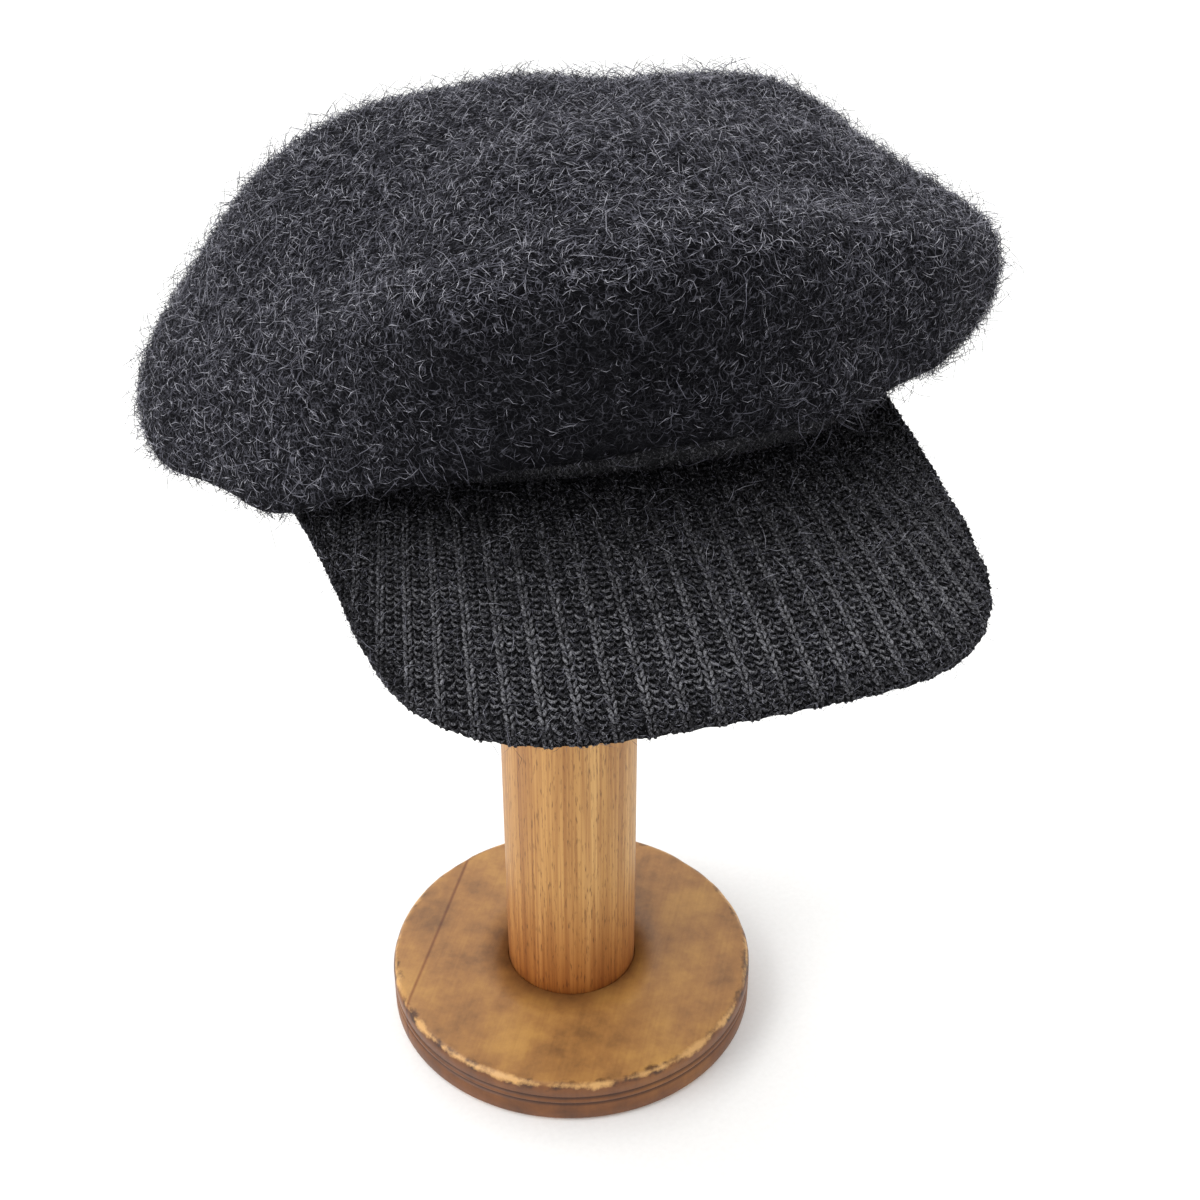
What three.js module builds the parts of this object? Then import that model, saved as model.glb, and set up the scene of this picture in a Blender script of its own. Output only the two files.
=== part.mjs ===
// A baker boy hat of fuzzy knit, standing on a turned wooden hat stand.
//
// The crown is one soft knitted shell, wide and slouching, with a tall front and
// sides that hang to the level of its band. A ribbed band gathers it to the head
// opening, and a ribbed cover is pulled over a stiff peak. The stand is a grooved
// round base, a straight post and a low domed top, and the crown lies on the dome.
//
// Millimetres, +Z up. The origin is the centre of the stand's underside, and the
// hat faces -Y. Angles round the hat are in degrees from its front, and grow
// towards +X.

import * as THREE from "three";

const radians = THREE.MathUtils.degToRad;
const lerp = THREE.MathUtils.lerp;

// Clearance between pieces that touch
const SEAM_GAP = 0.3;

// Turned stand
const BASE_RADIUS = 68;
const BASE_THICKNESS = 18.4;
const BASE_EDGE_ROUND = 3;
const BASE_FOOT_CHAMFER = 1.6;
const BASE_GROOVE_HEIGHTS = [8.6, 11.6];
const BASE_GROOVE_WIDTH = 1.5;
const BASE_GROOVE_DEPTH = 1;
const POST_RADIUS = 24;
const SOCKET_DEPTH = 6;
const TOP_RADIUS = 44;
const TOP_RIM_HEIGHT = 8;
const TOP_DOME_RISE = 15;
const TOP_UNDERSIDE_Z = 317;
const STAND_SIDES = 48;

// Pose of the hat on the stand
const HAT_POSITION = new THREE.Vector3(0, 0, 250);
const HAT_PITCH = -5; // below zero lifts the peak
const HAT_ROLL = 1; // above zero lowers the +X side

// Ribbed band round the head opening
const BAND_HALF_WIDTH = 91;
const BAND_HALF_LENGTH = 91;
const BAND_HEIGHT = 26;
const BAND_WALL = 3;
const BAND_RIB_HEIGHT = 1.1;
const BAND_RIBS = 80;
const BAND_FRONT_LIFT = 14; // the stiff peak arches the front of the soft band
const BAND_LIFT_SPREAD = 62;

// Knitted crown
const CROWN_WALL = 3;
const CROWN_TOP_HEIGHT = 95;
const CROWN_GATHER = 9; // how far the gathered cloth first rises over the band
const CROWN_STATIONS = 60;
const CROWN_WALL_STEPS = 7;
const CROWN_TOP_STEPS = 8;

// One row every thirty degrees: how far the fullest fold stands out from the hat's
// axis, its height over the band's lower edge, how far the cloth sags under it, how
// high the shoulder stands over it, and how far out the top stays full (as a share
// of the fold).
const CROWN_FOLDS = [
  { angle: 0, out: 119, up: 66, sag: 66, shoulder: 32, full: 0.47 },
  { angle: 30, out: 112, up: 57, sag: 62, shoulder: 27, full: 0.47 },
  { angle: 60, out: 121, up: 50, sag: 48, shoulder: 21, full: 0.48 },
  { angle: 90, out: 133, up: 36, sag: 37, shoulder: 21, full: 0.58 },
  { angle: 120, out: 134, up: 30, sag: 30, shoulder: 27, full: 0.76 },
  { angle: 150, out: 129, up: 24, sag: 27, shoulder: 28, full: 0.66 },
  { angle: 180, out: 128, up: 21, sag: 27, shoulder: 29, full: 0.6 },
  { angle: 210, out: 133, up: 20, sag: 27, shoulder: 30, full: 0.64 },
  { angle: 240, out: 130, up: 11, sag: 29, shoulder: 28, full: 0.62 },
  { angle: 270, out: 124, up: 9, sag: 35, shoulder: 23, full: 0.52 },
  { angle: 300, out: 112, up: 24, sag: 50, shoulder: 23, full: 0.46 },
  { angle: 330, out: 119, up: 54, sag: 63, shoulder: 29, full: 0.46 },
];

// Ribbed peak
const PEAK_THICKNESS = 4.4;
const PEAK_RIBS = 37;
const PEAK_RIB_HEIGHT = 1.1;
const PEAK_SPREAD = 80; // half the angle of band that it is sewn to
const PEAK_SLOPE = 0.52; // fall for each millimetre out from the band
const PEAK_ARCH = 2.5; // crown of each rib between band and edge
const PEAK_FAN = 24; // how far the outermost ribs splay, in degrees
const PEAK_ROWS = 7;
const PEAK_SEAM_HEIGHT = 3; // how far over the band's lower edge it is sewn on
const PEAK_LEAN = 2.4; // how far its temples sit towards -X of the band's
const PEAK_REACH = 159;

// Half of the peak's outline seen from above, from the front to the temple
const PEAK_OUTLINE = [
  { across: 0, forward: PEAK_REACH },
  { across: 38, forward: 155.5 },
  { across: 62, forward: 146 },
  { across: 78, forward: 129 },
  { across: 84, forward: 108 },
  { across: 86, forward: 84 },
  { across: 89, forward: 54 },
  { across: 94, forward: 20 },
];

// Colours of the photograph, as sRGB hex
const KNIT_BLACK = 0x2a2a2d;
const RIB_BLACK = 0x242427;
const POST_WOOD = 0xc9985e;
const BASE_WOOD = 0xa1743f;

// Closed body through rings that all have the same number of points. The ends are
// closed by fans, or the last ring runs on into the first one.
function bodyFromRings(rings, closed = false) {
  const count = rings[0].length;
  const points = rings.flat();
  const faces = [];
  const pairs = closed ? rings.length : rings.length - 1;
  for (let i = 0; i < pairs; i++) {
    const low = i * count;
    const high = ((i + 1) % rings.length) * count;
    for (let j = 0; j < count; j++) {
      const next = (j + 1) % count;
      faces.push(low + j, low + next, high + next);
      faces.push(low + j, high + next, high + j);
    }
  }
  if (!closed) {
    capRing(points, faces, rings[0], 0, true);
    capRing(points, faces, rings.at(-1), (rings.length - 1) * count, false);
  }
  const geometry = new THREE.BufferGeometry().setFromPoints(points);
  geometry.setIndex(signedVolume(points, faces) < 0 ? faces.reverse() : faces);
  geometry.computeVertexNormals();
  return geometry;
}

// Fan from the middle of a ring to its points.
function capRing(points, faces, ring, start, first) {
  const middle = ring
    .reduce((sum, point) => sum.add(point), new THREE.Vector3())
    .divideScalar(ring.length);
  const hub = points.push(middle) - 1;
  for (let j = 0; j < ring.length; j++) {
    const here = start + j;
    const next = start + ((j + 1) % ring.length);
    faces.push(...(first ? [hub, next, here] : [hub, here, next]));
  }
}

// Six times the volume that the faces close in, below zero when they point inwards.
function signedVolume(points, faces) {
  let sum = 0;
  for (let i = 0; i < faces.length; i += 3) {
    const [a, b, c] = faces.slice(i, i + 3).map((index) => points[index]);
    sum += a.dot(b.clone().cross(c));
  }
  return sum;
}

// Point at an angle round the hat, seen from above.
function polar(angle, radius, z) {
  const turn = radians(angle);
  return new THREE.Vector3(radius * Math.sin(turn), -radius * Math.cos(turn), z);
}

// Radius of the oval head opening at an angle.
function bandRadius(angle, widen = 0) {
  const turn = radians(angle);
  const across = Math.sin(turn) / (BAND_HALF_WIDTH + widen);
  const along = Math.cos(turn) / (BAND_HALF_LENGTH + widen);
  return 1 / Math.hypot(across, along);
}

// Height of the band's lower edge, which the stiff peak lifts at the front.
function bandBottom(angle) {
  const fromFront = ((angle + 540) % 360) - 180;
  return BAND_FRONT_LIFT * Math.exp(-((fromFront / BAND_LIFT_SPREAD) ** 2));
}

// One column of a table of evenly spaced angles, smoothly run round the hat.
function around(table, column, angle) {
  const step = 360 / table.length;
  const position = ((angle % 360) + 360) / step;
  const i = Math.floor(position);
  const value = (k) => table[(i + k + table.length) % table.length][column];
  return catmullRom(value(-1), value(0), value(1), value(2), position - i);
}

function catmullRom(a, b, c, d, t) {
  const slopeB = (c - a) / 2;
  const slopeC = (d - b) / 2;
  const cube = 2 * b - 2 * c + slopeB + slopeC;
  const square = -3 * b + 3 * c - 2 * slopeB - slopeC;
  return ((cube * t + square) * t + slopeB) * t + b;
}

// The crown's section at an angle, as a curve from the band out to the fold and a
// curve from the fold in to the middle of the top. Both run in radius and height.
function crownSection(angle) {
  const column = (name) => around(CROWN_FOLDS, name, angle);
  const out = column("out");
  const up = column("up");
  const hem = new THREE.Vector2(
    bandRadius(angle),
    bandBottom(angle) + BAND_HEIGHT + SEAM_GAP,
  );
  const fold = new THREE.Vector2(out, up);
  const wall = new THREE.CubicBezierCurve(
    hem,
    new THREE.Vector2(lerp(hem.x, out, 0.12), hem.y + CROWN_GATHER),
    new THREE.Vector2(out, up - column("sag")),
    fold,
  );
  const top = new THREE.CubicBezierCurve(
    fold,
    new THREE.Vector2(out, up + column("shoulder")),
    new THREE.Vector2(out * column("full"), CROWN_TOP_HEIGHT),
    new THREE.Vector2(0, CROWN_TOP_HEIGHT),
  );
  return { wall, top };
}

// Point of the crown's outside. Along it, -1 is the band, 0 the fold and 1 the top.
function crownPoint(angle, along) {
  const { wall, top } = crownSection(angle);
  const point = along < 0 ? wall.getPoint(along + 1) : top.getPoint(along);
  return polar(angle, point.x, point.y);
}

// Outward direction of the crown's outside, from its neighbouring points. At the
// hem it is level, so that the hem lies flat along the band.
function crownNormal(angle, along) {
  if (along === -1) return polar(angle, 1, 0);
  const reach = 0.02;
  const turn = 2;
  const low = Math.max(along - reach, -1);
  const high = Math.min(along + reach, 1 - reach);
  const rise = crownPoint(angle, high).sub(crownPoint(angle, low));
  const round = crownPoint(angle + turn, along).sub(crownPoint(angle - turn, along));
  return round.cross(rise).normalize();
}

function crownRing(along, inset) {
  return Array.from({ length: CROWN_STATIONS }, (_, i) => {
    const angle = (i * 360) / CROWN_STATIONS;
    const point = crownPoint(angle, along);
    return point.addScaledVector(crownNormal(angle, along), -inset);
  });
}

function makeCrown() {
  const innermost = 0.94; // the last ring before the middle of the top
  const wallSteps = Array.from({ length: CROWN_WALL_STEPS }, (_, i) => {
    return i / CROWN_WALL_STEPS - 1;
  });
  const topSteps = Array.from({ length: CROWN_TOP_STEPS + 1 }, (_, i) => {
    return (innermost * i) / CROWN_TOP_STEPS;
  });
  const steps = [...wallSteps, ...topSteps];
  const outside = steps.map((along) => crownRing(along, 0)).reverse();
  const inside = steps.map((along) => crownRing(along, CROWN_WALL));
  return bodyFromRings([...outside, ...inside]);
}

function makeBand() {
  const corners = [
    { inset: 0, up: 0, rib: 0.4 },
    { inset: 0, up: 0.15, rib: 1 },
    { inset: 0, up: 0.85, rib: 1 },
    { inset: 0, up: 1, rib: 0.4 },
    { inset: BAND_WALL, up: 1, rib: 0 },
    { inset: BAND_WALL, up: 0, rib: 0 },
  ];
  const columns = BAND_RIBS * 2;
  const rings = corners.map(({ inset, up, rib }) =>
    Array.from({ length: columns }, (_, i) => {
      const angle = (i * 360) / columns;
      const ridge = i % 2 ? 0 : BAND_RIB_HEIGHT * rib;
      const radius = bandRadius(angle, -BAND_RIB_HEIGHT - inset) + ridge;
      return polar(angle, radius, bandBottom(angle) + BAND_HEIGHT * up);
    }),
  );
  return bodyFromRings(rings, true);
}

// Distance forward along a line until it leaves the peak's outline.
function reachToOutline(from, direction) {
  const half = PEAK_OUTLINE.map(({ across, forward }) => {
    return new THREE.Vector2(across, -forward);
  });
  const mirrored = half.slice(1).map((point) => new THREE.Vector2(-point.x, point.y));
  const curve = new THREE.SplineCurve([...mirrored.reverse(), ...half]);
  const outline = curve.getPoints(240).map((point) => {
    const lean = PEAK_LEAN * (1 + point.y / PEAK_REACH);
    return new THREE.Vector2(point.x - lean, point.y);
  });
  let reach = 0;
  for (let i = 1; i < outline.length; i++) {
    const a = outline[i - 1].clone().sub(from);
    const b = outline[i].clone().sub(from);
    const sideA = direction.cross(a);
    const sideB = direction.cross(b);
    if (sideA * sideB > 0 || sideA === sideB) continue;
    const crossing = a.lerp(b, sideA / (sideA - sideB));
    reach = Math.max(reach, crossing.dot(direction));
  }
  return reach;
}

// The peak's middle surface under a point seen from above: it falls away from the
// band in every direction, as a cone does.
function peakHeight(x, y, share) {
  const angle = THREE.MathUtils.radToDeg(Math.atan2(x, -y));
  const out = Math.hypot(x, y) - bandRadius(angle);
  const arch = PEAK_ARCH * Math.sin(Math.PI * share);
  return bandBottom(angle) + PEAK_SEAM_HEIGHT - PEAK_SLOPE * out + arch;
}

// A line of points along one column of the peak, from the band to its edge.
function peakColumn(share, lift) {
  const clear = SEAM_GAP + 0.2;
  const angle = PEAK_SPREAD * share;
  const root = polar(angle, bandRadius(angle) + clear, 0);
  const fan = polar(PEAK_FAN * share, 1, 0);
  const direction = new THREE.Vector2(fan.x, fan.y);
  const start = new THREE.Vector2(root.x, root.y);
  const shortest = 5;
  const length = Math.max(reachToOutline(start, direction), shortest);
  return Array.from({ length: PEAK_ROWS + 1 }, (_, i) => {
    const along = i / PEAK_ROWS;
    const { x, y } = start.clone().addScaledVector(direction, length * along);
    const edge = Math.sqrt(1 - along ** 6);
    return new THREE.Vector3(x, y, peakHeight(x, y, along) + lift * edge);
  });
}

function makePeak() {
  const columnsPerRib = 3;
  const columns = PEAK_RIBS * columnsPerRib;
  const rings = Array.from({ length: columns + 1 }, (_, i) => {
    const share = (2 * i) / columns - 1;
    const ridge = i % columnsPerRib === 1 ? PEAK_RIB_HEIGHT : 0;
    const half = PEAK_THICKNESS / 2 - PEAK_RIB_HEIGHT + ridge;
    return [...peakColumn(share, half), ...peakColumn(share, -half).reverse()];
  });
  return bodyFromRings(rings);
}

function turned(profile) {
  const points = profile.map(([radius, z]) => new THREE.Vector2(radius, z));
  return new THREE.LatheGeometry(points, STAND_SIDES).rotateX(Math.PI / 2);
}

// Quarter of a circle in a turned profile, as points.
function roundedCorner(radius, z, size, from, to, steps = 4) {
  return Array.from({ length: steps + 1 }, (_, i) => {
    const turn = radians(lerp(from, to, i / steps));
    return [radius + size * Math.cos(turn), z + size * Math.sin(turn)];
  });
}

function makeBase() {
  const grooves = BASE_GROOVE_HEIGHTS.flatMap((z) => [
    [BASE_RADIUS, z - BASE_GROOVE_WIDTH / 2],
    [BASE_RADIUS - BASE_GROOVE_DEPTH, z],
    [BASE_RADIUS, z + BASE_GROOVE_WIDTH / 2],
  ]);
  const edge = BASE_THICKNESS - BASE_EDGE_ROUND;
  const socket = POST_RADIUS + SEAM_GAP;
  return turned([
    [0, 0],
    [BASE_RADIUS - BASE_FOOT_CHAMFER, 0],
    [BASE_RADIUS, BASE_FOOT_CHAMFER],
    ...grooves,
    ...roundedCorner(BASE_RADIUS - BASE_EDGE_ROUND, edge, BASE_EDGE_ROUND, 0, 90),
    [socket, BASE_THICKNESS],
    [socket, BASE_THICKNESS - SOCKET_DEPTH],
    [0, BASE_THICKNESS - SOCKET_DEPTH],
  ]);
}

function makePost() {
  const foot = BASE_THICKNESS - SOCKET_DEPTH + SEAM_GAP;
  const head = TOP_UNDERSIDE_Z + SOCKET_DEPTH - SEAM_GAP;
  return turned([
    [0, foot],
    [POST_RADIUS, foot],
    [POST_RADIUS, head],
    [0, head],
  ]);
}

function makeTop() {
  const socket = POST_RADIUS + SEAM_GAP;
  const rim = TOP_UNDERSIDE_Z + TOP_RIM_HEIGHT;
  const steps = 6;
  const dome = Array.from({ length: steps + 1 }, (_, i) => {
    const turn = (i / steps) * (Math.PI / 2);
    return [TOP_RADIUS * Math.cos(turn), rim + TOP_DOME_RISE * Math.sin(turn)];
  });
  dome[steps][0] = 0;
  return turned([
    [0, TOP_UNDERSIDE_Z + SOCKET_DEPTH],
    [socket, TOP_UNDERSIDE_Z + SOCKET_DEPTH],
    [socket, TOP_UNDERSIDE_Z],
    [TOP_RADIUS - 2, TOP_UNDERSIDE_Z],
    [TOP_RADIUS, TOP_UNDERSIDE_Z + 2],
    ...dome,
  ]);
}

function part(name, geometry, color, roughness) {
  const material = new THREE.MeshStandardMaterial({ color, roughness, metalness: 0 });
  const mesh = new THREE.Mesh(geometry, material);
  mesh.name = name;
  return mesh;
}

const hat = new THREE.Group();
hat.add(
  part("crown", makeCrown(), KNIT_BLACK, 0.95),
  part("band", makeBand(), RIB_BLACK, 0.95),
  part("peak", makePeak(), RIB_BLACK, 0.95),
);
hat.position.copy(HAT_POSITION);
hat.rotation.set(radians(HAT_PITCH), radians(HAT_ROLL), 0);

const stand = new THREE.Group();
stand.add(
  part("stand_base", makeBase(), BASE_WOOD, 0.6),
  part("stand_post", makePost(), POST_WOOD, 0.6),
  part("stand_top", makeTop(), POST_WOOD, 0.6),
);

const hatOnStand = new THREE.Group();
hatOnStand.add(stand, hat);

export default hatOnStand;
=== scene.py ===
# %% [markdown]
# # A baker boy hat on its wooden stand
#
# A near-black hat in two knits stands on a turned wooden stand. The crown is a
# brushed mohair knit, so what the eye sees first is a cloud of fine hairs. The peak
# and the band are a wide ribbed knit, where each stitch can be told apart.
#
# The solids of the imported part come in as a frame. The soft solids say where the
# cloth is, and the stitches and hairs grow from there, so everything stays in place.

# %% Load the frame
from functools import cache
from math import atan2, cos, degrees, exp, hypot, pi, radians, sin

import bmesh
import bpy
import numpy as np
from mathutils import Matrix, Vector, noise


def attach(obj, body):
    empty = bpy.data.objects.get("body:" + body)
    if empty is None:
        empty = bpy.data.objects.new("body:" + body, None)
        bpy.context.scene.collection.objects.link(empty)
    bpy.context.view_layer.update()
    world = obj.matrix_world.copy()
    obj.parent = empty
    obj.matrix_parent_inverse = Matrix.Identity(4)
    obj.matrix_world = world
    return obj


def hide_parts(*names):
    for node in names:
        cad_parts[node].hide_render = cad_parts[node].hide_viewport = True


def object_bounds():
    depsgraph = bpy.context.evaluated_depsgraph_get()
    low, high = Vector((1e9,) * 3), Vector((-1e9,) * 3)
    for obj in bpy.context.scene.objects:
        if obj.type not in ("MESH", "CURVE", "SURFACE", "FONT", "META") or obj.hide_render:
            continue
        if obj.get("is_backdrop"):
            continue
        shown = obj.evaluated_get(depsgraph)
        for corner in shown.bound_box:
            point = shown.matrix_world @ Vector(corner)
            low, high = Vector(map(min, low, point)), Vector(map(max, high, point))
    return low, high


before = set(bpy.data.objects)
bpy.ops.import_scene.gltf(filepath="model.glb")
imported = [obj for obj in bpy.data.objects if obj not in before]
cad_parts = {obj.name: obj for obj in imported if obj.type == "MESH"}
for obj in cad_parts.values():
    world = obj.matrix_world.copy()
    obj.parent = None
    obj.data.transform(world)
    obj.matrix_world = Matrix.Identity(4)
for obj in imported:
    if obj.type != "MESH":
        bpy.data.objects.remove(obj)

cad_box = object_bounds()
MM = 0.001
print("size of the part in mm:", [round((b - a) / MM) for a, b in zip(*cad_box)])

# %% [markdown]
# ## Camera
#
# The camera was fitted to the round base and the straight post of the stand. It
# looks down by 33 degrees from half a metre above the table. The hat faces -Y, and
# the camera stands 18 degrees to the side of that.

# %% Camera
PHOTO_AZIMUTH = radians(-18)
CAMERA_BACK, CAMERA_ASIDE, CAMERA_HEIGHT = 0.4856, 0.0109, 0.4984
CAMERA_PITCH = radians(33.42)

photo_camera = bpy.data.objects.new("photo_camera", bpy.data.cameras.new("photo_camera"))
photo_camera.data.sensor_width = 36
photo_camera.data.lens = 52.4
photo_camera.location = Matrix.Rotation(PHOTO_AZIMUTH, 3, "Z") @ Vector(
    (CAMERA_ASIDE, -CAMERA_BACK, CAMERA_HEIGHT)
)
photo_camera.rotation_euler = (pi / 2 - CAMERA_PITCH, 0, PHOTO_AZIMUTH)
bpy.context.collection.objects.link(photo_camera)
bpy.context.scene.camera = photo_camera
print("camera at", [round(v, 3) for v in photo_camera.location])

# %% [markdown]
# ## Helpers for materials and meshes
#
# Colours are written as sRGB hex, as in a paint program, and turned to the linear
# values that Blender works with. One function adds a node with its settings and
# links, which keeps each material short enough to read.

# %% Colours, nodes and finished pieces
def linear(hex_colour):
    channels = [int(hex_colour[i : i + 2], 16) / 255 for i in (1, 3, 5)]
    return [c / 12.92 if c <= 0.04045 else ((c + 0.055) / 1.055) ** 2.4 for c in channels] + [1]


def add(tree, kind, inputs=None, ramp=None, **settings):
    """Adds a shader node. A value in inputs is set, and a socket is linked. Sockets
    that share a name, as in Math and Mix, go by number. A ramp starts with two stops,
    so its list gives the two ends first."""
    node = tree.nodes.new("ShaderNode" + kind)
    for name, value in settings.items():
        setattr(node, name, value)
    for name, value in (inputs or {}).items():
        if isinstance(value, bpy.types.NodeSocket):
            tree.links.new(value, node.inputs[name])
        else:
            node.inputs[name].default_value = value
    for i, (place, colour) in enumerate(ramp or []):
        stops = node.color_ramp.elements
        stop = stops[i] if i < 2 else stops.new(place)
        stop.position, stop.color = place, linear(colour)
    return node


def start_material(name):
    material = bpy.data.materials.new(name)
    material.use_nodes = True
    material.node_tree.nodes.clear()
    return material, material.node_tree


def finish_material(tree, surface):
    add(tree, "OutputMaterial", {"Surface": surface.outputs[0]})


def place_piece(name, mesh, material, smooth=True):
    """Puts a finished mesh in the scene, riding on the one body of the part."""
    piece = bpy.data.objects.new(name, mesh)
    bpy.context.collection.objects.link(piece)
    mesh.materials.clear()
    mesh.materials.append(material)
    if smooth:
        mesh.shade_smooth()
    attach(piece, "root")
    return piece


def triangles(piece):
    shown = piece.evaluated_get(bpy.context.evaluated_depsgraph_get()).data
    return sum(len(polygon.vertices) - 2 for polygon in shown.polygons)


# %% [markdown]
# ## Finishes
#
# ** Mohair hair.** Goat hair is smooth and round, but soft light from all sides spreads
# its shine thin, so the specular level is low. Some hairs are paler: partly a tone that
# differs at random, partly painted sheen. Each strand carries its own tone as an
# attribute, from black to a pale grey, and on the crown the tone holds painted shade too.

# %% Mohair hair
mohair, tree = start_material("mohair_hair_with_painted_sheen")
tone = add(tree, "Attribute", attribute_name="tone")
# Painted sheen: the pale end of this ramp stands in for the shine of the hairs.
hair_colour = add(
    tree,
    "ValToRGB",
    {"Fac": tone.outputs["Fac"]},
    ramp=[(0, "#060608"), (1, "#c8c8d1"), (0.4, "#27272c"), (0.7, "#6c6c77")],
)
surface = add(
    tree,
    "BsdfPrincipled",
    {
        "Base Color": hair_colour.outputs["Color"],
        "Roughness": 0.6,
        "Specular IOR Level": 0.1,
    },
)
finish_material(tree, surface)

# %% [markdown]
# ** Knitted ground.** Under the hairs lies plain knitted wool, almost black. Stitches
# 2.6 mm wide leave small holes between them, darkened as painted shade. The hairs hide
# most of it, so a bump made of cells of that size is enough. Between the modelled hairs
# lie finer ones, which are drawn as lines. A noise has the value one half along thin,
# winding lines, so every place where it comes close to one half is coloured.

# %% Fine hairs as lines
def fine_hairs(tree, place, colour, amount, kinds):
    """Draws hairs over a colour. Each kind has the size of its bends, how close the
    noise comes to one half, and a colour."""
    for bend_size, closeness, hair_colour in kinds:
        blots = add(tree, "TexNoise", {"Vector": place, "Scale": 1 / bend_size, "Detail": 1.0})
        off_line = add(tree, "Math", {0: blots.outputs["Fac"], 1: 0.5}, operation="SUBTRACT")
        distance = add(tree, "Math", {0: off_line.outputs[0]}, operation="ABSOLUTE")
        on_line = add(
            tree,
            "MapRange",
            {
                "Value": distance.outputs[0],
                "From Min": closeness,
                "From Max": 0.4 * closeness,
                "To Max": amount,
            },
        )
        colour = add(
            tree,
            "Mix",
            {0: on_line.outputs["Result"], 6: colour, 7: linear(hair_colour)},
            data_type="RGBA",
        ).outputs[2]
    return colour


# %% Knitted ground of the crown
STITCH_WIDTH, FADED_PATCH = 2.6 * MM, 30 * MM

knit_ground, tree = start_material("black_wool_knit_plain")
place = add(tree, "TexCoord").outputs["Object"]
cells = add(
    tree,
    "TexVoronoi",
    {"Vector": place, "Scale": 1 / STITCH_WIDTH, "Randomness": 0.6},
    feature="SMOOTH_F1",
)
patches = add(tree, "TexNoise", {"Vector": place, "Scale": 1 / FADED_PATCH, "Detail": 3.0})
# Painted shade: the holes between the stitch cells are darker than the wool itself.
ground_colour = add(
    tree,
    "ValToRGB",
    {"Fac": cells.outputs["Distance"]},
    ramp=[(0.2, "#18181b"), (0.7, "#050507")],
)
patched = add(
    tree,
    "Mix",
    {0: patches.outputs["Fac"], 6: ground_colour.outputs["Color"], 7: linear("#0b0b0e")},
    data_type="RGBA",
)
# On the crown the tone carries the painted shade, so fewer hair lines show where it is shaded.
tone = add(tree, "Attribute", attribute_name="tone")
haired = fine_hairs(
    tree,
    place,
    patched.outputs[2],
    tone.outputs["Fac"],
    [(1.7 * MM, 0.024, "#313136"), (2.4 * MM, 0.02, "#424249"), (3.3 * MM, 0.015, "#5a5a62")],
)
stitch_bump = add(
    tree,
    "Bump",
    {"Height": cells.outputs["Distance"], "Strength": 0.9, "Distance": 0.8 * MM},
    invert=True,
)
surface = add(
    tree,
    "BsdfPrincipled",
    {
        "Base Color": haired,
        "Roughness": 0.9,
        "Specular IOR Level": 0.02,
        "Normal": stitch_bump.outputs["Normal"],
    },
)
finish_material(tree, surface)

# %% [markdown]
# ** Ribbed yarn.** The peak and the band are knitted from a plied wool yarn, duller and
# a little less blue than the mohair. Each stitch carries a tone of its own, which on the
# peak also holds painted shade, and a fine noise stands for the twist of the plies.
# Thin lines of fuzz, dark and pale, run on from one stitch to the next.

# %% Ribbed yarn
YARN_TWIST = 0.45 * MM

rib_yarn, tree = start_material("black_wool_yarn_rib_knit")
place = add(tree, "TexCoord").outputs["Object"]
tone = add(tree, "Attribute", attribute_name="tone")
twist = add(tree, "TexNoise", {"Vector": place, "Scale": 1 / YARN_TWIST, "Detail": 2.0})
mottle = add(
    tree,
    "Math",
    {0: tone.outputs["Fac"], 1: twist.outputs["Fac"]},
    operation="MULTIPLY",
)
yarn_colour = add(
    tree,
    "ValToRGB",
    {"Fac": mottle.outputs[0]},
    ramp=[(0.15, "#0b0b0d"), (0.6, "#838387"), (0.36, "#38383b")],
)
fuzzy_yarn = fine_hairs(
    tree,
    place,
    yarn_colour.outputs["Color"],
    tone.outputs["Fac"],
    [(0.8 * MM, 0.03, "#0e0e10"), (1.2 * MM, 0.03, "#808085")],
)
ply_bump = add(
    tree,
    "Bump",
    {"Height": twist.outputs["Fac"], "Strength": 0.9, "Distance": 0.35 * MM},
)
surface = add(
    tree,
    "BsdfPrincipled",
    {
        "Base Color": fuzzy_yarn,
        "Roughness": 0.8,
        "Specular IOR Level": 0.06,
        "Normal": ply_bump.outputs["Normal"],
    },
)
finish_material(tree, surface)

# %% [markdown]
# **Turned ash.** The post is ash with its grain along its length: soft bands of
# early and late wood, and open pores that show as short dark dashes. It was waxed
# long ago, so the gloss is low. Noise that is stretched along Z gives all of it.

# %% Ash of the post
GRAIN_WIDTH, GRAIN_LENGTH = 7 * MM, 260 * MM
STREAK_WIDTH, STREAK_LENGTH = 1.0 * MM, 70 * MM
PORE_WIDTH, PORE_LENGTH = 0.55 * MM, 5 * MM


def along_the_grain(tree, width, length, detail):
    """Noise whose blots are width across and length along Z."""
    scaled = add(
        tree,
        "Mapping",
        {
            "Vector": add(tree, "TexCoord").outputs["Object"],
            "Scale": (1 / width, 1 / width, 1 / length),
        },
    ).outputs["Vector"]
    return add(tree, "TexNoise", {"Vector": scaled, "Scale": 1.0, "Detail": detail})


def tinted(tree, share, colour, tint):
    """Multiplies a colour by a tint, as a thin stain does."""
    return add(
        tree, "Mix", {0: share, 6: colour, 7: tint}, data_type="RGBA", blend_type="MULTIPLY"
    ).outputs[2]


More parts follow.
